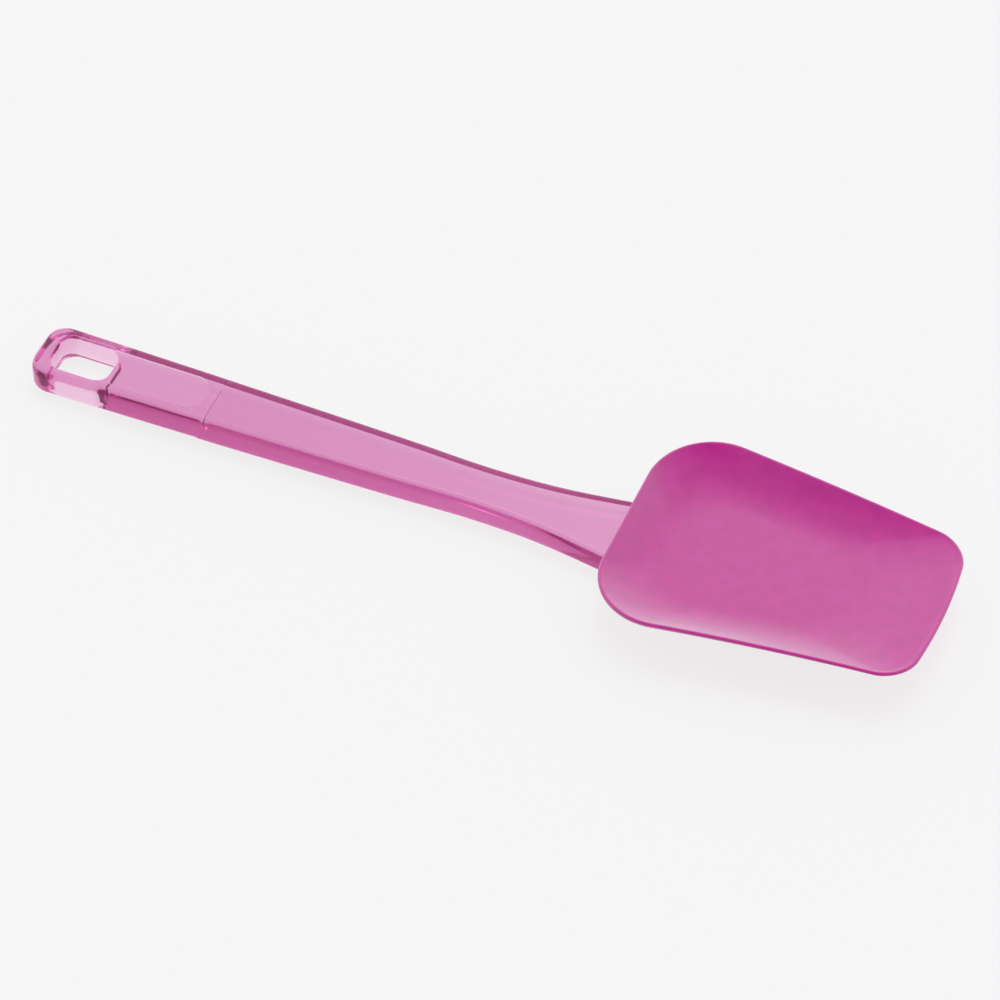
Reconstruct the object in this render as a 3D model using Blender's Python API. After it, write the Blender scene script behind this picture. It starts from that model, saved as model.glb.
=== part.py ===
"""Scraper spatula: a clear moulded handle with a silicone scoop head pushed onto its tang.

Metres, +Z up. +X runs from the tail of the handle to the tip of the head, and the part is
symmetric about the XZ plane. The origin is the middle of the bounding box's bottom face.
"""

import math

import bmesh
import bpy

MM = 0.001

# Whole object
OVERALL_LENGTH = 261 * MM
TAIL_X = -OVERALL_LENGTH / 2
TIP_X = OVERALL_LENGTH / 2
GAP = 0.3 * MM  # clearance between the two pieces

# Handle
HANDLE_MID_Z = 4.35 * MM
HANDLE_HALF_WIDTHS = (  # distance from the tail, half width
    (0 * MM, 9.9 * MM),
    (60 * MM, 9.0 * MM),
    (109 * MM, 8.05 * MM),
    (131 * MM, 7.45 * MM),
    (151 * MM, 8.4 * MM),
    (175 * MM, 11.9 * MM),
)
HANDLE_THICKNESSES = (  # distance from the tail, thickness
    (0 * MM, 8.8 * MM),
    (50 * MM, 8.7 * MM),
    (126 * MM, 8.0 * MM),
    (175 * MM, 7.0 * MM),
)
HANDLE_EDGE_RADIUS = 2.0 * MM
HANDLE_CROWN = 0.2 * MM  # the top is this much higher at its middle than at its edges
HANDLE_BELLY = 0.1 * MM  # each side stands out this much at its middle
TAIL_EDGE_RADIUS = 1.8 * MM
TAIL_CORNER_RADIUS = 6.2 * MM
STEP_FROM_TAIL = 51 * MM  # the underside is thinner by STEP_HEIGHT from the tail to here
STEP_HEIGHT = 0.3 * MM
SHAFT_SPACING = 5 * MM  # between sections of the shaft

# Hanging hole through the tail, and the blank label pocket beside it
HOLE_START = 5 * MM  # distance from the tail
HOLE_LENGTH = 17.3 * MM
HOLE_WIDTH = 12.4 * MM
HOLE_CORNER_RADIUS = 4 * MM
POCKET_END = 50.4 * MM  # distance from the tail
POCKET_WIDTH = 12 * MM
POCKET_DEPTH = 0.8 * MM
POCKET_CORNER_RADIUS = 5 * MM

# Head: plan of the rim, a tapered oblong with round corners and a slightly bowed tip
HEAD_LENGTH = 88.6 * MM
HEAD_X = TIP_X - HEAD_LENGTH
TIP_BOW = 2.2 * MM
HALF_WIDTH_BACK = 36.8 * MM  # where the side lines meet the back line
HALF_WIDTH_TIP = 25.3 * MM
BACK_CORNER_RADIUS = 18.3 * MM
TIP_CORNER_RADIUS = 9.4 * MM

SIDE_WAIST = 0.35 * MM  # each side draws in this much halfway along
BOW_FROM = 0.6  # the tip's bow begins at this share of the head's length

# Head: rim, a round roll over a narrow upright band
RIM_Z = 14.2 * MM  # at the back and the tip
RIM_ARCH = 1.3 * MM  # the rim is this much higher halfway along
RIM_RADIUS = 0.6 * MM
ROLL_ANGLE = math.radians(130)
BAND_BACK = 0.7 * MM  # height of the band at the back
BAND_TIP = 0.2 * MM  # height of the band at the tip
BAND_LEAN = 0.15 * MM

# Head: shell of the bowl
BOWL_FLOOR_Z = 8.0 * MM
SHELL_THICKNESS = 1.8 * MM  # of the floor, measured upright
FLOOR_RISE = 3.6 * MM  # from the back of the floor to the tip
RISE_FROM = 0.2  # the floor begins to rise at this share of the head's length
RISE_POWER = 1.5
WALL_RUN_SIDE = 15 * MM  # how far each wall curves in on its way down to the floor
WALL_RUN_BACK = 12 * MM
WALL_RUN_TIP = 28 * MM
BACK_RADIUS_LOSS = 4 * MM  # the back corners are tighter by this at the floor
TIP_RADIUS_GAIN = 1.5 * MM  # the tip corners are rounder by this at the floor

# Tang of the handle, its socket, and the rib under the head that holds it
COLLAR_X = HEAD_X + 2.0 * MM
SHOULDER_X = COLLAR_X - GAP
TANG_LENGTH = 50 * MM
TANG_WIDTH = 20 * MM
TANG_TIP_WIDTH = 18 * MM
TANG_THICKNESS = 3.6 * MM
TANG_TIP_THICKNESS = 3.2 * MM
TANG_EDGE_RADIUS = 1.0 * MM
TANG_CORNER_RADIUS = 6 * MM
RIB_WIDTH_BACK = 30 * MM
RIB_WIDTH_TIP = 25 * MM
RIB_FLAT_LENGTH = 50 * MM
RIB_RUN_OUT = 14 * MM
RIB_TOP_Z = 7.8 * MM
RIB_THIN_END = 0.6 * MM
RIB_EDGE_RADIUS = 3.4 * MM
RIB_CROWN = 3.4 * MM  # the rib's top rises this much at the back, to meet the shell
RIB_CROWN_LENGTH = 11 * MM

# Fineness and fit of the rounding
CORNER_STEPS = 8
EDGE_STEPS = 4
FLAT_STEPS = 6
SIDE_STEPS = 2
TAIL_STEPS = 8
TANG_TIP_STEPS = 6
RIB_STEPS = 8
CROWN_STEPS = 4
RIM_STEPS = 6
WALL_LEVELS = 10
FLOOR_LEVELS = 4
MIDDLE_OF_FLOOR = 0.5  # half a ring's width of the floor is left to the face that closes it
MOST_ROUND = 0.45  # an edge's radius is at most this share of the thickness there


def smooth_between(stations, place):
    """Value at place on a smooth curve through the (place, value) stations."""
    last = len(stations) - 1
    i = 0
    while i < last - 1 and place > stations[i + 1][0]:
        i += 1

    def slope(k):
        a, b = stations[max(k - 1, 0)], stations[min(k + 1, last)]
        return (b[1] - a[1]) / (b[0] - a[0])

    (x0, y0), (x1, y1) = stations[i], stations[i + 1]
    run = x1 - x0
    t = min(max((place - x0) / run, 0), 1)
    return (
        y0 * (2 * t**3 - 3 * t**2 + 1)
        + y1 * (3 * t**2 - 2 * t**3)
        + run * slope(i) * (t**3 - 2 * t**2 + t)
        + run * slope(i + 1) * (t**3 - t**2)
    )


def rounded_off(radius, distance):
    """How much a round corner takes off, at this distance from the end it rounds."""
    left = max(radius - distance, 0)
    return radius - math.sqrt(radius**2 - left**2)


def end_places(radius, steps):
    """Distances from an end at which sections follow its round corner."""
    return [radius * (1 - math.cos(math.pi / 2 * k / steps)) for k in range(steps + 1)]


def rectangle_section(x, width, thickness, radius, mid_z, crown=0, belly=0):
    """Ring across X: a rectangle with round corners, a crowned top and bellied sides."""
    flat_y = width / 2 - belly - radius
    flat_z = (thickness - crown) / 2 - radius
    points = []
    corners = ((1, 1), (-1, 1), (-1, -1), (1, -1))
    for quarter, (side, up) in enumerate(corners):
        for k in range(EDGE_STEPS + 1):
            angle = math.pi / 2 * (quarter + k / EDGE_STEPS)
            y = side * flat_y + radius * math.cos(angle)
            z = up * flat_z + radius * math.sin(angle)
            points.append((y, z))
        if side == up:  # the corner starts the top or the underside
            points += [(y - 2 * y * k / FLAT_STEPS, z) for k in range(1, FLAT_STEPS)]
        else:
            points += [(y, z - 2 * z * k / SIDE_STEPS) for k in range(1, SIDE_STEPS)]
    half_y, half_z = flat_y + radius, flat_z + radius
    low_z = mid_z - thickness / 2
    ring = []
    for y, z in points:
        out = belly * (y / half_y) * (1 - (z / half_z) ** 2)
        up = crown * (z + half_z) / (2 * half_z) * (1 - (y / half_y) ** 2)
        ring.append((x, y + out, low_z + half_z + z + up))
    return ring


def loft(name, rings):
    """Object whose skin joins the rings in turn, with both end rings filled."""
    bm = bmesh.new()
    rows = [[bm.verts.new(point) for point in ring] for ring in rings]
    for here, there in zip(rows, rows[1:]):
        for i in range(len(here)):
            j = (i + 1) % len(here)
            bm.faces.new((here[i], here[j], there[j], there[i]))
    bm.faces.new(rows[0])
    bm.faces.new(rows[-1])
    bmesh.ops.recalc_face_normals(bm, faces=bm.faces)
    return finish_mesh(name, bm)


def rounded_prism(name, low_x, high_x, width, low_z, high_z, corner_radius):
    """Upright block centred on Y, with its four upright edges rounded."""
    bm = bmesh.new()
    bmesh.ops.create_cube(bm, size=1)
    bmesh.ops.scale(bm, vec=(high_x - low_x, width, high_z - low_z), verts=bm.verts)
    middle = ((low_x + high_x) / 2, 0, (low_z + high_z) / 2)
    bmesh.ops.translate(bm, vec=middle, verts=bm.verts)
    upright = [e for e in bm.edges if abs(e.verts[0].co.z - e.verts[1].co.z) > MM]
    bmesh.ops.bevel(
        bm,
        geom=upright,
        offset=corner_radius,
        offset_type="OFFSET",
        segments=CORNER_STEPS,
        profile=0.5,
        affect="EDGES",
    )
    return finish_mesh(name, bm)


def finish_mesh(name, bm):
    mesh = bpy.data.meshes.new(name)
    bm.to_mesh(mesh)
    bm.free()
    mesh.shade_smooth()
    mesh.set_sharp_from_angle(angle=math.radians(30))
    return bpy.data.objects.new(name, mesh)


def round_corner(before, corner, after, radius):
    """Points of the arc that rounds the corner of a flat outline."""
    arms = []
    for end in (before, after):
        dx, dy = end[0] - corner[0], end[1] - corner[1]
        length = math.hypot(dx, dy)
        arms.append((dx / length, dy / length))
    half = math.acos(arms[0][0] * arms[1][0] + arms[0][1] * arms[1][1]) / 2
    mx, my = arms[0][0] + arms[1][0], arms[0][1] + arms[1][1]
    reach = radius / math.sin(half) / math.hypot(mx, my)
    cx, cy = corner[0] + mx * reach, corner[1] + my * reach
    tangent = radius / math.tan(half)
    starts = [(corner[0] + ax * tangent, corner[1] + ay * tangent) for ax, ay in arms]
    first, last = (math.atan2(y - cy, x - cx) for x, y in starts)
    turn = (last - first + math.pi) % (2 * math.pi) - math.pi
    points = []
    for k in range(CORNER_STEPS + 1):
        angle = first + turn * k / CORNER_STEPS
        points.append((cx + radius * math.cos(angle), cy + radius * math.sin(angle)))
    return points


def between(start, end, steps):
    """Points that divide the line from start to end, without its ends."""
    dx, dy = end[0] - start[0], end[1] - start[1]
    return [(start[0] + dx * k / steps, start[1] + dy * k / steps) for k in range(1, steps)]


def head_outline(back, side, tip, back_radius, tip_radius):
    """Plan of the rim, drawn in by its back, side and tip insets."""
    x0, x1 = HEAD_X + back, TIP_X - TIP_BOW - tip
    taper = (HALF_WIDTH_TIP - HALF_WIDTH_BACK) / (HEAD_LENGTH - TIP_BOW)
    y0 = HALF_WIDTH_BACK + taper * (x0 - HEAD_X) - side
    y1 = HALF_WIDTH_BACK + taper * (x1 - HEAD_X) - side
    corners = [(x0, -y0), (x1, -y1), (x1, y1), (x0, y0)]
    radii = (back_radius, tip_radius, tip_radius, back_radius)
    arcs = []
    for i, radius in enumerate(radii):
        arcs.append(round_corner(corners[i - 1], corners[i], corners[(i + 1) % 4], radius))
    outline = []
    for i, arc in enumerate(arcs):
        outline += arc + between(arc[-1], arcs[(i + 1) % 4][0], CORNER_STEPS)
    plan = []
    for x, y in outline:
        along = (x - x0) / (x1 - x0)
        near_tip = min(max((along - BOW_FROM) / (1 - BOW_FROM), 0), 1)
        bow = TIP_BOW * near_tip * max(1 - (y / y1) ** 2, 0)
        waist = 1 - SIDE_WAIST / HALF_WIDTH_BACK * 4 * along * (1 - along)
        plan.append((x + bow, y * waist))
    return plan


def rim_z(x):
    """Height of the top of the rim, which arches between its ends."""
    along = (x - HEAD_X) / HEAD_LENGTH
    return RIM_Z + RIM_ARCH * 4 * along * (1 - along)


def band_low_z(x):
    """Height of the lower edge of the band under the rim."""
    along = (x - HEAD_X) / HEAD_LENGTH
    return rim_z(x) - RIM_RADIUS - BAND_BACK - (BAND_TIP - BAND_BACK) * along


def lip_low_z(x):
    """Height at which the roll of the rim ends inside the bowl."""
    return rim_z(x) - RIM_RADIUS * (1 - math.sin(ROLL_ANGLE))


def floor_z(x):
    """Height of the bowl's floor, which rises towards the tip."""
    along = (x - HEAD_X) / HEAD_LENGTH
    rising = max((along - RISE_FROM) / (1 - RISE_FROM), 0)
    return BOWL_FLOOR_Z + FLOOR_RISE * rising**RISE_POWER


def wall_ring(inset, down, thickness, top_z):
    """Ring of a wall that curves in to the floor: down runs from 0 at its top to 1."""
    plan = head_outline(
        inset + WALL_RUN_BACK * down,
        inset + WALL_RUN_SIDE * down,
        inset + WALL_RUN_TIP * down,
        BACK_CORNER_RADIUS - inset - BACK_RADIUS_LOSS * down,
        TIP_CORNER_RADIUS - inset + TIP_RADIUS_GAIN * down,
    )
    ring = []
    for x, y in plan:
        low_z = floor_z(x) - thickness
        ring.append((x, y, low_z + (top_z(x) - low_z) * (1 - down) ** 2))
    return ring


def shell_rings(inset, thickness, top_z):
    """Rings of a wall and then of the floor, whose rings shrink towards its middle."""
    rings = []
    for k in range(WALL_LEVELS + 1):
        rings.append(wall_ring(inset, k / WALL_LEVELS, thickness, top_z))
    foot = rings[-1]
    middle = (min(p[0] for p in foot) + max(p[0] for p in foot)) / 2
    for k in range(1, FLOOR_LEVELS + 1):
        size = 1 - k / (FLOOR_LEVELS + MIDDLE_OF_FLOOR)
        plan = [(middle + (x - middle) * size, y * size) for x, y, z in foot]
        rings.append([(x, y, floor_z(x) - thickness) for x, y in plan])
    return rings


def rim_rings():
    """Rings of the roll, from the band over the top of the rim to the inside."""
    rings = []
    for k in range(RIM_STEPS):
        angle = ROLL_ANGLE * k / RIM_STEPS
        inset = RIM_RADIUS * (1 - math.cos(angle))
        drop = RIM_RADIUS * (1 - math.sin(angle))
        plan = head_outline(
            inset, inset, inset, BACK_CORNER_RADIUS - inset, TIP_CORNER_RADIUS - inset
        )
        rings.append([(x, y, rim_z(x) - drop) for x, y in plan])
    return rings


def handle_sections():
    """Sections of the handle from its tail to the shoulder."""
    rounding = end_places(TAIL_CORNER_RADIUS, TAIL_STEPS)
    shoulder = SHOULDER_X - TAIL_X
    count = round((shoulder - TAIL_CORNER_RADIUS) / SHAFT_SPACING)
    spread = (shoulder - TAIL_CORNER_RADIUS) / count
    shaft = [TAIL_CORNER_RADIUS + spread * k for k in range(1, count + 1)]
    step = [STEP_FROM_TAIL, STEP_FROM_TAIL + STEP_HEIGHT]
    places = sorted(p for p in rounding + shaft if abs(p - STEP_FROM_TAIL) > MM)
    sections = []
    for place in sorted(places + step):
        width = 2 * smooth_between(HANDLE_HALF_WIDTHS, place)
        width -= 2 * rounded_off(TAIL_CORNER_RADIUS, place)
        thickness = smooth_between(HANDLE_THICKNESSES, place)
        mid_z = HANDLE_MID_Z
        if place <= STEP_FROM_TAIL:
            thickness -= STEP_HEIGHT
            mid_z += STEP_HEIGHT / 2
        thickness -= 2 * rounded_off(TAIL_EDGE_RADIUS, place)
        share = thickness / HANDLE_THICKNESSES[0][1]
        crown = HANDLE_CROWN * share
        belly = HANDLE_BELLY * share
        radius = min(HANDLE_EDGE_RADIUS, MOST_ROUND * (thickness - crown))
        sections.append(
            rectangle_section(TAIL_X + place, width, thickness, radius, mid_z, crown, belly)
        )
    return sections


def tang_sections(clearance):
    """Sections of the tang from the shoulder to its tip, each larger by the clearance."""
    sections = []
    rounding = end_places(TANG_CORNER_RADIUS, TANG_TIP_STEPS)
    for from_tip in [TANG_LENGTH, TANG_LENGTH / 2] + rounding[::-1]:
        along = 1 - from_tip / TANG_LENGTH
        width = TANG_WIDTH + (TANG_TIP_WIDTH - TANG_WIDTH) * along
        width -= 2 * rounded_off(TANG_CORNER_RADIUS, from_tip)
        thickness = TANG_THICKNESS + (TANG_TIP_THICKNESS - TANG_THICKNESS) * along
        thickness -= 2 * rounded_off(TANG_EDGE_RADIUS, from_tip)
        x = SHOULDER_X + TANG_LENGTH - from_tip + clearance
        sections.append(
            rectangle_section(
                x,
                width + 2 * clearance,
                thickness + 2 * clearance,
                min(TANG_EDGE_RADIUS, MOST_ROUND * thickness) + clearance,
                HANDLE_MID_Z,
            )
        )
    return sections


def subtract(target, cutter):
    add_boolean(target, cutter, "DIFFERENCE")


def unite(target, cutter):
    add_boolean(target, cutter, "UNION")


def add_boolean(target, cutter, operation):
    modifier = target.modifiers.new(cutter.name, "BOOLEAN")
    modifier.operation = operation
    modifier.solver = "EXACT"
    modifier.object = cutter
    cutter.hide_render = True
    cutter.display_type = "WIRE"
    cutters.objects.link(cutter)


def material(name, color, roughness, alpha=1.0, transmission=0.0, subsurface=0.0):
    made = bpy.data.materials.new(name)
    made.use_nodes = True
    shader = made.node_tree.nodes["Principled BSDF"]
    shader.inputs["Base Color"].default_value = (*color, 1)
    shader.inputs["Roughness"].default_value = roughness
    shader.inputs["Metallic"].default_value = 0.0
    shader.inputs["Alpha"].default_value = alpha
    shader.inputs["Transmission Weight"].default_value = transmission
    shader.inputs["Subsurface Weight"].default_value = subsurface
    return made


def build_handle():
    handle = loft("handle", handle_sections() + tang_sections(0))
    through = HANDLE_MID_Z * 3
    hole = rounded_prism(
        "hanging_hole",
        TAIL_X + HOLE_START,
        TAIL_X + HOLE_START + HOLE_LENGTH,
        HOLE_WIDTH,
        -through,
        through,
        HOLE_CORNER_RADIUS,
    )
    top_z = HANDLE_MID_Z + HANDLE_THICKNESSES[0][1] / 2
    pocket = rounded_prism(
        "label_pocket",
        TAIL_X + HOLE_START + HOLE_LENGTH / 2,
        TAIL_X + POCKET_END,
        POCKET_WIDTH,
        top_z - POCKET_DEPTH,
        through,
        POCKET_CORNER_RADIUS,
    )
    subtract(handle, hole)
    subtract(handle, pocket)
    clear_pink = (0.86, 0.30, 0.62)
    handle.data.materials.append(
        material("clear_pink_plastic", clear_pink, 0.08, alpha=0.6, transmission=0.9)
    )
    return handle


def rib_sections():
    """Sections of the rib under the bowl: a flat underside that then runs out into the shell."""
    sections = []
    places = [RIB_CROWN_LENGTH * k / CROWN_STEPS for k in range(CROWN_STEPS + 1)]
    places += [RIB_FLAT_LENGTH / 2]
    places += [RIB_FLAT_LENGTH + RIB_RUN_OUT * k / RIB_STEPS for k in range(RIB_STEPS + 1)]
    for place in places:
        x = COLLAR_X + place
        over = max(place - RIB_FLAT_LENGTH, 0) / RIB_RUN_OUT
        rise = (1 - math.cos(math.pi * over)) / 2
        along = place / (RIB_FLAT_LENGTH + RIB_RUN_OUT)
        width = RIB_WIDTH_BACK + (RIB_WIDTH_TIP - RIB_WIDTH_BACK) * along
        top_z = max(RIB_TOP_Z, floor_z(x) - SHELL_THICKNESS / 2)
        top_z += RIB_CROWN * max(1 - place / RIB_CROWN_LENGTH, 0) ** 2
        low_z = (top_z - RIB_THIN_END) * rise
        radius = min(RIB_EDGE_RADIUS, MOST_ROUND * (top_z - low_z))
        sections.append(
            rectangle_section(x, width, top_z - low_z, radius, (top_z + low_z) / 2)
        )
    return sections


def build_head():
    outer = shell_rings(BAND_LEAN, SHELL_THICKNESS, band_low_z)
    lip_inset = RIM_RADIUS * (1 - math.cos(ROLL_ANGLE))
    inner = shell_rings(lip_inset, 0, lip_low_z)
    head = loft("scoop_head", outer[::-1] + rim_rings() + inner)
    rib = loft("socket_rib", rib_sections())
    socket = tang_sections(GAP)
    mouth = [(COLLAR_X - GAP, y, z) for x, y, z in socket[0]]
    unite(head, rib)
    subtract(head, loft("tang_socket", [mouth] + socket[1:]))
    silicone_pink = (0.60, 0.09, 0.36)
    head.data.materials.append(
        material("pink_silicone", silicone_pink, 0.55, subsurface=0.2)
    )
    return head


for old in list(bpy.data.objects):
    bpy.data.objects.remove(old, do_unlink=True)

spatula = bpy.data.collections.new("scoop_spatula")
cutters = bpy.data.collections.new("cutters")
bpy.context.scene.collection.children.link(spatula)
bpy.context.scene.collection.children.link(cutters)

spatula.objects.link(build_handle())
spatula.objects.link(build_head())
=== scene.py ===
"""Looks of the scoop spatula: clear pink handle, matte pink silicone head, soft studio light."""

import math

import bmesh
import bpy
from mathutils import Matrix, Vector


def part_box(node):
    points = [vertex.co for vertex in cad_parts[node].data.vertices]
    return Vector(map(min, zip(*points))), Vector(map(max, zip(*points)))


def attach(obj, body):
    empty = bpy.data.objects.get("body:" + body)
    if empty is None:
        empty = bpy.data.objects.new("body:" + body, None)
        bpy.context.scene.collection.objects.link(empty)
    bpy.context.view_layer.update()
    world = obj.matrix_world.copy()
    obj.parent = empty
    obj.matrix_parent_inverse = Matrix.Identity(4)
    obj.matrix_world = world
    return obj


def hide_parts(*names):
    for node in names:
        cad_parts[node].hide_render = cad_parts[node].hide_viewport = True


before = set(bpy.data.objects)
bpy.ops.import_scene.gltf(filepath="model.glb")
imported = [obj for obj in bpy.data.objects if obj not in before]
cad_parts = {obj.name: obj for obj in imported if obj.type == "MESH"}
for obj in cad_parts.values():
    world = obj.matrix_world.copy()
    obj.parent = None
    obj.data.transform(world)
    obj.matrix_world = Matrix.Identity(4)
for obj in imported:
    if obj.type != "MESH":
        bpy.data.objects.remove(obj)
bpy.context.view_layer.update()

MM = 0.001
GAP = 0.3 * MM  # clearance between the two pieces

# ---------------------------------------------------------------- places read from the frame
handle_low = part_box("handle")[0]
head_low, head_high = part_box("scoop_head")
TAIL_X = handle_low.x
TIP_X = head_high.x
HEAD_X = head_low.x
HEAD_LENGTH = TIP_X - HEAD_X
RIM_TOP_Z = head_high.z

# ---------------------------------------------------------------- handle, same sizes as the CAD
HANDLE_MID_Z = 4.35 * MM
HANDLE_HALF_WIDTHS = (  # distance from the tail, half width
    (0 * MM, 9.9 * MM),
    (60 * MM, 9.0 * MM),
    (109 * MM, 8.05 * MM),
    (131 * MM, 7.45 * MM),
    (151 * MM, 8.4 * MM),
    (175 * MM, 11.9 * MM),
)
HANDLE_THICKNESSES = (  # distance from the tail, thickness
    (0 * MM, 8.8 * MM),
    (50 * MM, 8.7 * MM),
    (126 * MM, 8.0 * MM),
    (175 * MM, 7.0 * MM),
)
TAIL_THICKNESS = HANDLE_THICKNESSES[0][1]
HANDLE_EDGE_RADIUS = 2.0 * MM
HANDLE_CROWN = 0.2 * MM  # the top is this much higher at its middle than at its edges
HANDLE_BELLY = 0.1 * MM  # each side stands out this much at its middle
TAIL_EDGE_RADIUS = 1.8 * MM
TAIL_CORNER_RADIUS = 6.2 * MM
STEP_FROM_TAIL = 51 * MM  # the underside is STEP_HEIGHT higher from the tail to here
STEP_HEIGHT = 0.3 * MM  # and the step is as long as it is high
HOLE_START = 5 * MM  # distance from the tail
HOLE_LENGTH = 17.3 * MM
HOLE_WIDTH = 12.4 * MM
HOLE_CORNER_RADIUS = 4 * MM
POCKET_END = 50.4 * MM  # distance from the tail
POCKET_WIDTH = 12 * MM
POCKET_DEPTH = 0.8 * MM
POCKET_CORNER_RADIUS = 5 * MM

# ---------------------------------------------------------------- soft edges the CAD leaves out
POCKET_SOFT_EDGE = 0.25 * MM  # rounding where the pocket meets the top
HOLE_SOFT_EDGE = 1.1 * MM  # rounding where the hole meets the top and the underside
FLARE_ANGLE = math.radians(75)  # the rounding stops this far round
FLARE_REACH = 2 * MM  # a cutter runs this far past the surface it opens
FLARE_GROWTH = 1.3  # and is wider there by this many times the soft edge

# ---------------------------------------------------------------- head, same sizes as the CAD
TIP_BOW = 2.2 * MM
HALF_WIDTH_BACK = 36.8 * MM  # where the side lines meet the back line
HALF_WIDTH_TIP = 25.3 * MM
BACK_CORNER_RADIUS = 18.3 * MM
TIP_CORNER_RADIUS = 9.4 * MM
SIDE_WAIST = 0.35 * MM  # each side draws in this much halfway along
BOW_FROM = 0.6  # the tip's bow begins at this share of the head's length
RIM_ARCH = 1.3 * MM  # the rim is this much higher halfway along than at its ends
RIM_Z = RIM_TOP_Z - RIM_ARCH  # at the back and the tip
RIM_RADIUS = 0.6 * MM
ROLL_ANGLE = math.radians(130)  # the rim is round from its outside over to here
BAND_BACK = 0.7 * MM  # height of the band under the rim, at the back
BAND_TIP = 0.2 * MM  # height of the band at the tip
BAND_LEAN = 0.15 * MM  # the band's lower edge lies this far inside its upper edge
BOWL_FLOOR_Z = 8.0 * MM
SHELL_THICKNESS = 1.8 * MM  # of the floor, measured upright
FLOOR_RISE = 3.6 * MM  # from the back of the floor to the tip
RISE_FROM = 0.2  # the floor begins to rise at this share of the head's length
RISE_POWER = 1.5
WALL_RUN_SIDE = 15 * MM  # how far each wall curves in on its way down to the floor
WALL_RUN_BACK = 12 * MM
WALL_RUN_TIP = 28 * MM
BACK_RADIUS_LOSS = 4 * MM  # the radius of the back corners is smaller by this at the floor
TIP_RADIUS_GAIN = 1.5 * MM  # the radius of the tip corners is larger by this there

# ---------------------------------------------------------------- tang, socket and rib, likewise
COLLAR_X = HEAD_X + 2.0 * MM
SHOULDER_X = COLLAR_X - GAP
TANG_LENGTH = 50 * MM
TANG_WIDTH = 20 * MM
TANG_TIP_WIDTH = 18 * MM
TANG_THICKNESS = 3.6 * MM
TANG_TIP_THICKNESS = 3.2 * MM
TANG_EDGE_RADIUS = 1.0 * MM
TANG_CORNER_RADIUS = 6 * MM
RIB_WIDTH_BACK = 30 * MM
RIB_WIDTH_TIP = 25 * MM
RIB_FLAT_LENGTH = 50 * MM
RIB_RUN_OUT = 14 * MM
RIB_TOP_Z = 7.8 * MM
RIB_THIN_END = 0.6 * MM
RIB_EDGE_RADIUS = 3.4 * MM
RIB_CROWN = 3.4 * MM  # the rib's top rises this much at the back, to meet the shell
RIB_CROWN_LENGTH = 11 * MM

# ---------------------------------------------------------------- steps, more than in the CAD
SHAFT_SPACING = 1.5 * MM  # between sections of the shaft
CORNER_STEPS = 20
EDGE_STEPS = 10
FLAT_STEPS = 12
SIDE_STEPS = 4
TAIL_STEPS = 16
STEP_STEPS = 4
FLARE_STEPS = 7
TANG_TIP_STEPS = 12
RIB_STEPS = 20
CROWN_STEPS = 8
RIM_STEPS = 12
WALL_LEVELS = 24
FLOOR_LEVELS = 12

# ---------------------------------------------------------------- fit of the rounding
MIDDLE_OF_FLOOR = 0.5  # half a ring's width of the floor is left to the face that closes it
MOST_ROUND = 0.45  # an edge's radius is at most this share of the thickness there
SHARP_ANGLE = math.radians(35)  # faces that meet at more than this look like an edge

# ---------------------------------------------------------------- looks, shared
WHITE = (1, 1, 1, 1)
NOISE_RANGE = (0.3, 0.7)  # nearly all of a noise's values lie in here

# ---------------------------------------------------------------- looks of the plastic
PLASTIC_IOR = 1.49
PLASTIC_TRANSMISSION = 0.97
PLASTIC_REFLECTION = (1, 0.45, 0.8, 1)  # reflections are a little pink too
PLASTIC_TINT = (0.765, 0.25, 0.615, 1)
PLASTIC_DENSITY = 160  # how fast the tint deepens with the way through, per metre
PLASTIC_GLOW_COLOUR = (1, 0.02, 0.5, 1)
PLASTIC_GLOW = 0.045
PLASTIC_ROUGHNESS = (0.01, 0.06)
RIPPLE_STRETCH = (0.35, 1, 1)  # the mould's ripples are longer along the handle
RIPPLE_SCALE = 240
RIPPLE_HEIGHT = 0.012 * MM
RIPPLE_STRENGTH = 1
HANDLING_SCALE = 900  # of the faint wear from handling

# ---------------------------------------------------------------- looks of the silicone
SILICONE_IOR = 1.41
SILICONE_DEEP_PINK = (0.49, 0.003, 0.248, 1)
SILICONE_LIGHT_PINK = (0.56, 0.009, 0.293, 1)
SILICONE_ROUGHNESS = (0.52, 0.68)
SILICONE_REFLECTION = 0.25
SHEEN = 0.3
SHEEN_ROUGHNESS = 0.4
SCATTER = 0.1
SCATTER_RADIUS = (1.0, 0.1, 0.5)  # red light goes furthest inside
SCATTER_DEPTH = 1.5 * MM
CLOUD_SCALE = 260  # of the patches between the two pinks
GRAIN_SCALE = 1800
GRAIN_HEIGHT = 0.03 * MM
GRAIN_STRENGTH = 0.6
# painted sheen: the pink is mixed towards this pale lilac where the surface slants away from the
# view
PAINTED_SHEEN_COLOUR = (0.74, 0.66, 0.74, 1)
PAINTED_SHEEN_SHARES = (  # power of the slant, share where the view only grazes, share added everywhere
    (0.5, 0.26, -0.008),
    (2, 0.36, 0),
)

# ---------------------------------------------------------------- camera
CAMERA_AZIMUTH = math.radians(23.02)
CAMERA_ELEVATION = math.radians(48.0)
CAMERA_DISTANCE = 1.2  # metres
VIEW_WIDTH = 267.21 * MM  # what the view spans at that distance
SENSOR_WIDTH = 36.0
AIM_RIGHT = 5.63 * MM  # where the camera looks, from the part's origin
AIM_UP = 0.97 * MM
CLIP_NEAR = 0.01
CLIP_FAR = 20
BOUNCES = 32  # enough for light that is caught in the clear handle
GLOSSY_BOUNCES = 16

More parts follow.
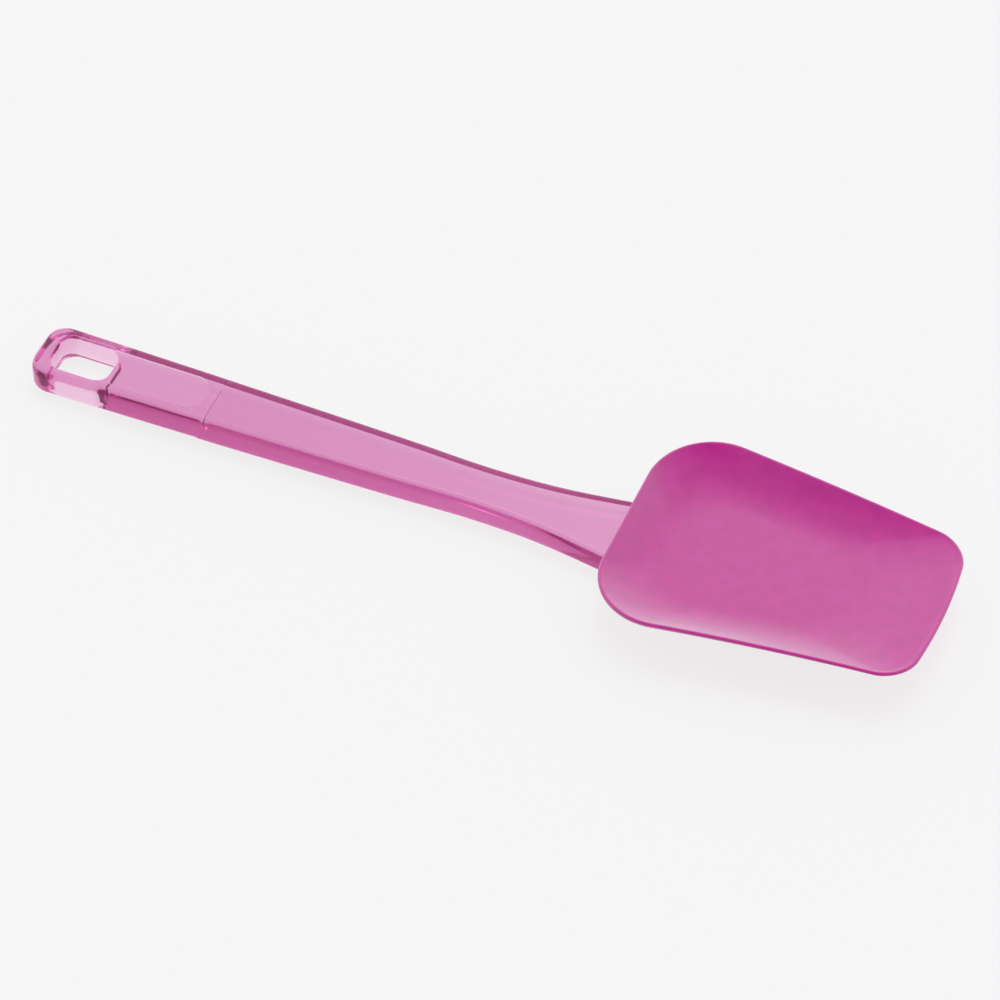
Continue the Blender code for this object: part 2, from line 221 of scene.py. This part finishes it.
# ---------------------------------------------------------------- floor and light
FLOOR_SIZE = 6  # metres
FLOOR_Z = -0.2 * MM  # just clear of the rib's underside
FLOOR_GLOW = 0.77
FLOOR_DIFFUSE = 0.145
FLOOR_ROUGHNESS = 0.9
ROOM_STRENGTH = 1.0
SOFTBOX_DIRECTION = (0, 0.3, 1)
SOFTBOX_STRENGTH = 3.2  # added to the room's
SOFTBOX_EDGE = (0.93, 0.98)  # cosines of the angles from its middle where it fades in
FRONT_DIRECTION = (0.26, -0.70, 0.60)
FRONT_STRENGTH = 0.55  # the room is dimmer on this side
FRONT_EDGE = (0.1, 0.85)  # likewise, where it dims


def smooth_between(stations, place):
    """Value at place on a smooth curve through the (place, value) stations."""
    last = len(stations) - 1
    i = 0
    while i < last - 1 and place > stations[i + 1][0]:
        i += 1

    def slope(k):
        a, b = stations[max(k - 1, 0)], stations[min(k + 1, last)]
        return (b[1] - a[1]) / (b[0] - a[0])

    (x0, y0), (x1, y1) = stations[i], stations[i + 1]
    run = x1 - x0
    t = min(max((place - x0) / run, 0), 1)
    return (
        y0 * (2 * t**3 - 3 * t**2 + 1)
        + y1 * (3 * t**2 - 2 * t**3)
        + run * slope(i) * (t**3 - 2 * t**2 + t)
        + run * slope(i + 1) * (t**3 - t**2)
    )


def rounded_off(radius, distance):
    """How much a round corner takes off, at this distance from the end it rounds."""
    left = max(radius - distance, 0)
    return radius - math.sqrt(radius**2 - left**2)


def end_places(radius, steps):
    """Distances from an end at which sections follow its round corner."""
    return [radius * (1 - math.cos(math.pi / 2 * k / steps)) for k in range(steps + 1)]


def rectangle_section(x, width, thickness, radius, mid_z, crown=0, belly=0):
    """Ring of points across X: a round-cornered rectangle with a crowned top and bellied sides."""
    flat_y = width / 2 - belly - radius
    flat_z = (thickness - crown) / 2 - radius
    points = []
    corners = ((1, 1), (-1, 1), (-1, -1), (1, -1))
    for quarter, (side, up) in enumerate(corners):
        for k in range(EDGE_STEPS + 1):
            angle = math.pi / 2 * (quarter + k / EDGE_STEPS)
            y = side * flat_y + radius * math.cos(angle)
            z = up * flat_z + radius * math.sin(angle)
            points.append((y, z))
        if side == up:
            points += [(y - 2 * y * k / FLAT_STEPS, z) for k in range(1, FLAT_STEPS)]
        else:
            points += [(y, z - 2 * z * k / SIDE_STEPS) for k in range(1, SIDE_STEPS)]
    half_y, half_z = flat_y + radius, flat_z + radius
    low_z = mid_z - thickness / 2
    ring = []
    for y, z in points:
        bulge = belly * (y / half_y) * (1 - (z / half_z) ** 2)
        lift = crown * (z + half_z) / (2 * half_z) * (1 - (y / half_y) ** 2)
        ring.append((x, y + bulge, low_z + half_z + z + lift))
    return ring


def loft(name, rings):
    """Object whose skin joins the rings in turn, with both end rings filled."""
    bm = bmesh.new()
    rows = [[bm.verts.new(point) for point in ring] for ring in rings]
    for here, there in zip(rows, rows[1:]):
        for i in range(len(here)):
            j = (i + 1) % len(here)
            bm.faces.new((here[i], here[j], there[j], there[i]))
    bm.faces.new(rows[0])
    bm.faces.new(rows[-1])
    bmesh.ops.recalc_face_normals(bm, faces=bm.faces)
    mesh = bpy.data.meshes.new(name)
    bm.to_mesh(mesh)
    bm.free()
    mesh.shade_smooth()
    made = bpy.data.objects.new(name, mesh)
    bpy.context.scene.collection.objects.link(made)
    return made


def round_corner(before, corner, after, radius):
    """Points of the arc that rounds the corner of a flat outline."""
    arms = []
    for end in (before, after):
        dx, dy = end[0] - corner[0], end[1] - corner[1]
        length = math.hypot(dx, dy)
        arms.append((dx / length, dy / length))
    half = math.acos(arms[0][0] * arms[1][0] + arms[0][1] * arms[1][1]) / 2
    mx, my = arms[0][0] + arms[1][0], arms[0][1] + arms[1][1]
    reach = radius / math.sin(half) / math.hypot(mx, my)
    cx, cy = corner[0] + mx * reach, corner[1] + my * reach
    tangent = radius / math.tan(half)
    starts = [(corner[0] + ax * tangent, corner[1] + ay * tangent) for ax, ay in arms]
    first, last = (math.atan2(y - cy, x - cx) for x, y in starts)
    turn = (last - first + math.pi) % (2 * math.pi) - math.pi
    points = []
    for k in range(CORNER_STEPS + 1):
        angle = first + turn * k / CORNER_STEPS
        points.append((cx + radius * math.cos(angle), cy + radius * math.sin(angle)))
    return points


def rounded_outline(low_x, high_x, width, radius):
    """Points of an oblong with round corners, centred on Y."""
    half = width / 2
    corners = [(low_x, -half), (high_x, -half), (high_x, half), (low_x, half)]
    points = []
    for i in range(4):
        points += round_corner(corners[i - 1], corners[i], corners[(i + 1) % 4], radius)
    return points


def flared_cutter(name, low_x, high_x, width, radius, soft_edge, low_z, mouths):
    """Cutter for an upright pocket with its floor at low_z, or for a hole if low_z is None. Each
    of the mouths is a height where it opens, with 1 if it opens upwards or -1 if downwards.
    """
    levels = []
    for z, way in mouths:
        for k in range(FLARE_STEPS):
            angle = FLARE_ANGLE * k / (FLARE_STEPS - 1)
            depth = soft_edge * (1 - math.sin(angle))
            levels.append((z - way * depth, soft_edge * (1 - math.cos(angle))))
        levels.append((z + way * FLARE_REACH, soft_edge * FLARE_GROWTH))
    if low_z is not None:
        levels.append((low_z, 0))
    levels.sort()
    rings = []
    for z, grow in levels:
        outline = rounded_outline(low_x - grow, high_x + grow, width + 2 * grow, radius + grow)
        rings.append([(x, y, z) for x, y in outline])
    return loft(name, rings)


def cut(target, cutter, operation="DIFFERENCE"):
    """Applies a Boolean to target and removes the cutter."""
    modifier = target.modifiers.new("cut", "BOOLEAN")
    modifier.operation = operation
    modifier.solver = "EXACT"
    modifier.object = cutter
    bpy.context.view_layer.update()
    evaluated = target.evaluated_get(bpy.context.evaluated_depsgraph_get())
    mesh = bpy.data.meshes.new_from_object(evaluated)
    target.modifiers.clear()
    old = target.data
    target.data = mesh
    bpy.data.meshes.remove(old)
    bpy.data.objects.remove(cutter)


def handle_sections():
    """Sections of the bar from its tail to its shoulder."""
    shoulder = SHOULDER_X - TAIL_X
    rounding = end_places(TAIL_CORNER_RADIUS, TAIL_STEPS)
    count = round((shoulder - TAIL_CORNER_RADIUS) / SHAFT_SPACING)
    spacing = (shoulder - TAIL_CORNER_RADIUS) / count
    shaft = [TAIL_CORNER_RADIUS + spacing * k for k in range(1, count + 1)]
    places = [p for p in rounding + shaft if abs(p - STEP_FROM_TAIL) > SHAFT_SPACING / 2]
    step = [STEP_FROM_TAIL + STEP_HEIGHT * k / STEP_STEPS for k in range(STEP_STEPS + 1)]
    sections = []
    for place in sorted(places + step):
        width = 2 * smooth_between(HANDLE_HALF_WIDTHS, place)
        width -= 2 * rounded_off(TAIL_CORNER_RADIUS, place)
        thickness = smooth_between(HANDLE_THICKNESSES, place)
        t = min(max((place - STEP_FROM_TAIL) / STEP_HEIGHT, 0), 1)
        drop = STEP_HEIGHT * (1 - t * t * (3 - 2 * t))
        thickness -= drop
        mid_z = HANDLE_MID_Z + drop / 2
        thickness -= 2 * rounded_off(TAIL_EDGE_RADIUS, place)
        crown = HANDLE_CROWN * thickness / TAIL_THICKNESS
        belly = HANDLE_BELLY * thickness / TAIL_THICKNESS
        radius = min(HANDLE_EDGE_RADIUS, MOST_ROUND * (thickness - crown))
        sections.append(
            rectangle_section(TAIL_X + place, width, thickness, radius, mid_z, crown, belly)
        )
    return sections


def tang_sections(clearance):
    """Sections of the tang from the shoulder to its tip, each larger by the clearance."""
    sections = []
    rounding = end_places(TANG_CORNER_RADIUS, TANG_TIP_STEPS)
    for from_tip in [TANG_LENGTH, TANG_LENGTH / 2] + rounding[::-1]:
        along = 1 - from_tip / TANG_LENGTH
        width = TANG_WIDTH + (TANG_TIP_WIDTH - TANG_WIDTH) * along
        width -= 2 * rounded_off(TANG_CORNER_RADIUS, from_tip)
        thickness = TANG_THICKNESS + (TANG_TIP_THICKNESS - TANG_THICKNESS) * along
        thickness -= 2 * rounded_off(TANG_EDGE_RADIUS, from_tip)
        x = SHOULDER_X + TANG_LENGTH - from_tip + clearance
        sections.append(
            rectangle_section(
                x,
                width + 2 * clearance,
                thickness + 2 * clearance,
                min(TANG_EDGE_RADIUS, MOST_ROUND * thickness) + clearance,
                HANDLE_MID_Z,
            )
        )
    return sections


def make_handle():
    """Bar and tang in one, with the label pocket and the hanging hole cut in."""
    handle = loft("handle_bar", handle_sections() + tang_sections(0))
    top_z = HANDLE_MID_Z + TAIL_THICKNESS / 2
    low_z = HANDLE_MID_Z - TAIL_THICKNESS / 2 + STEP_HEIGHT
    pocket = flared_cutter(
        "pocket_cutter",
        TAIL_X + HOLE_START + HOLE_LENGTH / 2,
        TAIL_X + POCKET_END,
        POCKET_WIDTH,
        POCKET_CORNER_RADIUS,
        POCKET_SOFT_EDGE,
        top_z - POCKET_DEPTH,
        [(top_z, 1)],
    )
    cut(handle, pocket)
    hole = flared_cutter(
        "hole_cutter",
        TAIL_X + HOLE_START,
        TAIL_X + HOLE_START + HOLE_LENGTH,
        HOLE_WIDTH,
        HOLE_CORNER_RADIUS,
        HOLE_SOFT_EDGE,
        None,
        [(low_z, -1), (top_z, 1)],
    )
    cut(handle, hole)
    handle.data.set_sharp_from_angle(angle=SHARP_ANGLE)
    return handle


def between(start, end, steps):
    """Points that divide the line from start to end, without its ends."""
    dx, dy = end[0] - start[0], end[1] - start[1]
    return [(start[0] + dx * k / steps, start[1] + dy * k / steps) for k in range(1, steps)]


def head_outline(back, side, tip, back_radius, tip_radius):
    """Plan of the rim, drawn in by its back, side and tip insets."""
    x0, x1 = HEAD_X + back, TIP_X - TIP_BOW - tip
    taper = (HALF_WIDTH_TIP - HALF_WIDTH_BACK) / (HEAD_LENGTH - TIP_BOW)
    y0 = HALF_WIDTH_BACK + taper * (x0 - HEAD_X) - side
    y1 = HALF_WIDTH_BACK + taper * (x1 - HEAD_X) - side
    corners = [(x0, -y0), (x1, -y1), (x1, y1), (x0, y0)]
    radii = (back_radius, tip_radius, tip_radius, back_radius)
    arcs = []
    for i, radius in enumerate(radii):
        arcs.append(round_corner(corners[i - 1], corners[i], corners[(i + 1) % 4], radius))
    outline = []
    for i, arc in enumerate(arcs):
        outline += arc + between(arc[-1], arcs[(i + 1) % 4][0], CORNER_STEPS)
    plan = []
    for x, y in outline:
        along = (x - x0) / (x1 - x0)
        near_tip = min(max((along - BOW_FROM) / (1 - BOW_FROM), 0), 1)
        bow = TIP_BOW * near_tip * max(1 - (y / y1) ** 2, 0)
        waist = 1 - SIDE_WAIST / HALF_WIDTH_BACK * 4 * along * (1 - along)
        plan.append((x + bow, y * waist))
    return plan


def along_head(x):
    """Share of the head's length that lies behind x."""
    return (x - HEAD_X) / HEAD_LENGTH


def rim_z(x):
    """Height of the top of the rim, which arches between its ends."""
    along = along_head(x)
    return RIM_Z + RIM_ARCH * 4 * along * (1 - along)


def band_low_z(x):
    """Height of the lower edge of the band under the rim."""
    return rim_z(x) - RIM_RADIUS - BAND_BACK - (BAND_TIP - BAND_BACK) * along_head(x)


def lip_low_z(x):
    """Height at which the roll of the rim ends inside the bowl."""
    return rim_z(x) - RIM_RADIUS * (1 - math.sin(ROLL_ANGLE))


def floor_z(x):
    """Height of the bowl's floor, which rises towards the tip."""
    rising = max((along_head(x) - RISE_FROM) / (1 - RISE_FROM), 0)
    return BOWL_FLOOR_Z + FLOOR_RISE * rising**RISE_POWER


def wall_ring(inset, down, thickness, top_z):
    """Ring of a wall that curves in to the floor: down runs from 0 at its top to 1."""
    plan = head_outline(
        inset + WALL_RUN_BACK * down,
        inset + WALL_RUN_SIDE * down,
        inset + WALL_RUN_TIP * down,
        BACK_CORNER_RADIUS - inset - BACK_RADIUS_LOSS * down,
        TIP_CORNER_RADIUS - inset + TIP_RADIUS_GAIN * down,
    )
    ring = []
    for x, y in plan:
        low_z = floor_z(x) - thickness
        ring.append((x, y, low_z + (top_z(x) - low_z) * (1 - down) ** 2))
    return ring


def shell_rings(inset, thickness, top_z):
    """Rings of a wall and then of the floor, whose rings shrink towards its middle."""
    rings = []
    for k in range(WALL_LEVELS + 1):
        rings.append(wall_ring(inset, k / WALL_LEVELS, thickness, top_z))
    foot = rings[-1]
    middle = (min(p[0] for p in foot) + max(p[0] for p in foot)) / 2
    for k in range(1, FLOOR_LEVELS + 1):
        size = 1 - k / (FLOOR_LEVELS + MIDDLE_OF_FLOOR)
        plan = [(middle + (x - middle) * size, y * size) for x, y, z in foot]
        rings.append([(x, y, floor_z(x) - thickness) for x, y in plan])
    return rings


def rim_rings():
    """Rings of the roll, from the band over the top of the rim to the inside."""
    rings = []
    for k in range(RIM_STEPS):
        angle = ROLL_ANGLE * k / RIM_STEPS
        inset = RIM_RADIUS * (1 - math.cos(angle))
        drop = RIM_RADIUS * (1 - math.sin(angle))
        plan = head_outline(
            inset, inset, inset, BACK_CORNER_RADIUS - inset, TIP_CORNER_RADIUS - inset
        )
        rings.append([(x, y, rim_z(x) - drop) for x, y in plan])
    return rings


def rib_sections():
    """Sections of the rib under the bowl: a flat underside that then runs out into the shell."""
    sections = []
    places = [RIB_CROWN_LENGTH * k / CROWN_STEPS for k in range(CROWN_STEPS + 1)]
    places += [RIB_FLAT_LENGTH / 2]
    places += [RIB_FLAT_LENGTH + RIB_RUN_OUT * k / RIB_STEPS for k in range(RIB_STEPS + 1)]
    for place in places:
        x = COLLAR_X + place
        over = max(place - RIB_FLAT_LENGTH, 0) / RIB_RUN_OUT
        rise = (1 - math.cos(math.pi * over)) / 2
        along = place / (RIB_FLAT_LENGTH + RIB_RUN_OUT)
        width = RIB_WIDTH_BACK + (RIB_WIDTH_TIP - RIB_WIDTH_BACK) * along
        top_z = max(RIB_TOP_Z, floor_z(x) - SHELL_THICKNESS / 2)
        top_z += RIB_CROWN * max(1 - place / RIB_CROWN_LENGTH, 0) ** 2
        low_z = (top_z - RIB_THIN_END) * rise
        radius = min(RIB_EDGE_RADIUS, MOST_ROUND * (top_z - low_z))
        sections.append(
            rectangle_section(x, width, top_z - low_z, radius, (top_z + low_z) / 2)
        )
    return sections


def make_head():
    """Bowl with its rolled rim, the rib under it and the socket for the tang."""
    outer = shell_rings(BAND_LEAN, SHELL_THICKNESS, band_low_z)
    lip_inset = RIM_RADIUS * (1 - math.cos(ROLL_ANGLE))
    inner = shell_rings(lip_inset, 0, lip_low_z)
    head = loft("silicone_head", outer[::-1] + rim_rings() + inner)
    cut(head, loft("rib", rib_sections()), "UNION")
    socket = tang_sections(GAP)
    mouth = [(COLLAR_X - GAP, y, z) for x, y, z in socket[0]]
    cut(head, loft("socket", [mouth] + socket[1:]))
    head.data.set_sharp_from_angle(angle=SHARP_ANGLE)
    return head


def new_material(name):
    """A material, its node tree, and its shader and output nodes."""
    made = bpy.data.materials.new(name)
    made.use_nodes = True
    tree = made.node_tree
    return made, tree, tree.nodes["Principled BSDF"], tree.nodes["Material Output"]


def node(tree, kind, **settings):
    """A new node of this kind, with these settings."""
    made = tree.nodes.new(kind)
    for key, value in settings.items():
        setattr(made, key, value)
    return made


def noise(tree, vector, scale, detail):
    """A noise's value at a place; the places are in metres, so scale counts waves per metre."""
    made = node(tree, "ShaderNodeTexNoise")
    made.inputs["Scale"].default_value = scale
    made.inputs["Detail"].default_value = detail
    tree.links.new(vector, made.inputs["Vector"])
    return made.outputs["Fac"]


def spread(tree, source, low, high, low_value, high_value, **settings):
    """A value, spread from the range low..high onto low_value..high_value."""
    made = node(tree, "ShaderNodeMapRange", **settings)
    made.inputs["From Min"].default_value = low
    made.inputs["From Max"].default_value = high
    made.inputs["To Min"].default_value = low_value
    made.inputs["To Max"].default_value = high_value
    tree.links.new(source, made.inputs["Value"])
    return made.outputs["Result"]


def combined(tree, operation, *values, **settings):
    """The sum, product or power of some values, each an output of a node or a number."""
    made = node(tree, "ShaderNodeMath", operation=operation, **settings)
    for socket, value in zip(made.inputs, values):
        if isinstance(value, (int, float)):
            socket.default_value = value
        else:
            tree.links.new(value, socket)
    return made.outputs[0]


def link_bump(tree, height, shader, strength, distance):
    """Makes the shader's surface look as if it followed a height."""
    bump = node(tree, "ShaderNodeBump")
    bump.inputs["Strength"].default_value = strength
    bump.inputs["Distance"].default_value = distance
    tree.links.new(height, bump.inputs["Height"])
    tree.links.new(bump.outputs[0], shader.inputs["Normal"])


def clear_pink():
    """Clear tinted plastic. Its colour comes from how far light goes through it, and a faint
    glow stands for the light that scatters inside.
    """
    made, tree, shader, output = new_material("clear_pink_plastic")
    shader.inputs["Base Color"].default_value = WHITE
    shader.inputs["Specular Tint"].default_value = PLASTIC_REFLECTION
    shader.inputs["IOR"].default_value = PLASTIC_IOR
    shader.inputs["Transmission Weight"].default_value = PLASTIC_TRANSMISSION
    shader.inputs["Emission Color"].default_value = PLASTIC_GLOW_COLOUR
    shader.inputs["Emission Strength"].default_value = PLASTIC_GLOW
    place = node(tree, "ShaderNodeTexCoord").outputs["Object"]
    stretch = node(tree, "ShaderNodeMapping")
    stretch.inputs["Scale"].default_value = RIPPLE_STRETCH
    tree.links.new(place, stretch.inputs["Vector"])
    ripples = noise(tree, stretch.outputs[0], RIPPLE_SCALE, detail=2)
    link_bump(tree, ripples, shader, RIPPLE_STRENGTH, RIPPLE_HEIGHT)
    handled = noise(tree, place, HANDLING_SCALE, detail=4)
    roughness = spread(tree, handled, *NOISE_RANGE, *PLASTIC_ROUGHNESS)
    tree.links.new(roughness, shader.inputs["Roughness"])
    absorb = node(tree, "ShaderNodeVolumeAbsorption")
    absorb.inputs["Color"].default_value = PLASTIC_TINT
    absorb.inputs["Density"].default_value = PLASTIC_DENSITY
    tree.links.new(absorb.outputs[0], output.inputs["Volume"])
    return made


def pink_silicone():
    """Matte silicone: deep pink, with a pale painted sheen mixed into its colour where the surface
    slants away.
    """
    made, tree, shader, _ = new_material("pink_silicone")
    shader.inputs["IOR"].default_value = SILICONE_IOR
    shader.inputs["Specular IOR Level"].default_value = SILICONE_REFLECTION
    shader.inputs["Sheen Weight"].default_value = SHEEN
    shader.inputs["Sheen Roughness"].default_value = SHEEN_ROUGHNESS
    shader.inputs["Subsurface Weight"].default_value = SCATTER
    shader.inputs["Subsurface Radius"].default_value = SCATTER_RADIUS
    shader.inputs["Subsurface Scale"].default_value = SCATTER_DEPTH
    place = node(tree, "ShaderNodeTexCoord").outputs["Object"]
    clouds = noise(tree, place, CLOUD_SCALE, detail=3)
    pink = node(tree, "ShaderNodeMix", data_type="RGBA")
    pink.inputs["A"].default_value = SILICONE_DEEP_PINK
    pink.inputs["B"].default_value = SILICONE_LIGHT_PINK
    tree.links.new(spread(tree, clouds, *NOISE_RANGE, 0, 1), pink.inputs["Factor"])
    # painted sheen: mixes the pink towards pale lilac by how far the surface slants from the view
    painted_sheen = node(tree, "ShaderNodeMix", data_type="RGBA")
    painted_sheen.inputs["B"].default_value = PAINTED_SHEEN_COLOUR
    tree.links.new(pink.outputs["Result"], painted_sheen.inputs["A"])
    slant = node(tree, "ShaderNodeLayerWeight").outputs["Facing"]
    shares = []
    for power, share, start in PAINTED_SHEEN_SHARES:
        raised = combined(tree, "POWER", slant, power)
        shares.append(combined(tree, "MULTIPLY_ADD", raised, share, start, use_clamp=True))
    tree.links.new(combined(tree, "ADD", *shares), painted_sheen.inputs["Factor"])
    tree.links.new(painted_sheen.outputs["Result"], shader.inputs["Base Color"])
    grain = noise(tree, place, GRAIN_SCALE, detail=3)
    roughness = spread(tree, grain, *NOISE_RANGE, *SILICONE_ROUGHNESS)
    tree.links.new(roughness, shader.inputs["Roughness"])
    link_bump(tree, grain, shader, GRAIN_STRENGTH, GRAIN_HEIGHT)
    return made


def make_floor():
    """Pale floor that glows like a light table."""
    bpy.ops.mesh.primitive_plane_add(size=FLOOR_SIZE, location=(0, 0, FLOOR_Z))
    floor = bpy.context.object
    floor.name = "floor"
    made, _, shader, _ = new_material("floor_paper")
    shader.inputs["Base Color"].default_value = (FLOOR_DIFFUSE, FLOOR_DIFFUSE, FLOOR_DIFFUSE, 1)
    shader.inputs["Roughness"].default_value = FLOOR_ROUGHNESS
    shader.inputs["Specular IOR Level"].default_value = 0.0
    shader.inputs["Emission Color"].default_value = WHITE
    shader.inputs["Emission Strength"].default_value = FLOOR_GLOW
    floor.data.materials.append(made)


def toward(tree, sky_place, direction, edge, away_value, toward_value):
    """A value that changes smoothly, over the edge, as the sky's place nears a direction."""
    dot = node(tree, "ShaderNodeVectorMath", operation="DOT_PRODUCT")
    dot.inputs[1].default_value = Vector(direction).normalized()
    tree.links.new(sky_place, dot.inputs[0])
    near = dot.outputs["Value"]
    values = (away_value, toward_value)
    return spread(tree, near, *edge, *values, interpolation_type="SMOOTHSTEP")


def make_sky():
    """White room that is dimmer in front, with a bright softbox overhead."""
    world = bpy.data.worlds.new("studio_world")
    bpy.context.scene.world = world
    world.use_nodes = True
    tree = world.node_tree
    place = node(tree, "ShaderNodeTexCoord").outputs["Generated"]
    softbox = toward(tree, place, SOFTBOX_DIRECTION, SOFTBOX_EDGE, 0, SOFTBOX_STRENGTH)
    room = toward(tree, place, FRONT_DIRECTION, FRONT_EDGE, ROOM_STRENGTH, FRONT_STRENGTH)
    background = tree.nodes["Background"]
    background.inputs["Color"].default_value = WHITE
    tree.links.new(combined(tree, "ADD", softbox, room), background.inputs["Strength"])


def make_camera():
    """Camera with the photograph's view, and how light reaches it."""
    a, e = CAMERA_AZIMUTH, CAMERA_ELEVATION
    back = Vector((math.cos(e) * math.sin(a), -math.cos(e) * math.cos(a), math.sin(e)))
    right = Vector((math.cos(a), math.sin(a), 0))
    up = back.cross(right)
    data = bpy.data.cameras.new("camera")
    data.sensor_width = SENSOR_WIDTH
    data.lens = SENSOR_WIDTH * CAMERA_DISTANCE / VIEW_WIDTH
    data.clip_start = CLIP_NEAR
    data.clip_end = CLIP_FAR
    camera = bpy.data.objects.new("camera", data)
    camera.location = right * AIM_RIGHT + up * AIM_UP + back * CAMERA_DISTANCE
    camera.rotation_euler = back.to_track_quat("Z", "Y").to_euler()
    scene = bpy.context.scene
    scene.collection.objects.link(camera)
    scene.camera = camera
    scene.view_settings.view_transform = "Standard"
    scene.cycles.max_bounces = BOUNCES
    scene.cycles.transmission_bounces = BOUNCES
    scene.cycles.glossy_bounces = GLOSSY_BOUNCES


handle = make_handle()
handle.data.materials.append(clear_pink())
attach(handle, "handle")
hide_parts("handle")

head = make_head()
head.data.materials.append(pink_silicone())
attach(head, "head")
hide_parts("scoop_head")

make_floor()
make_sky()
make_camera()
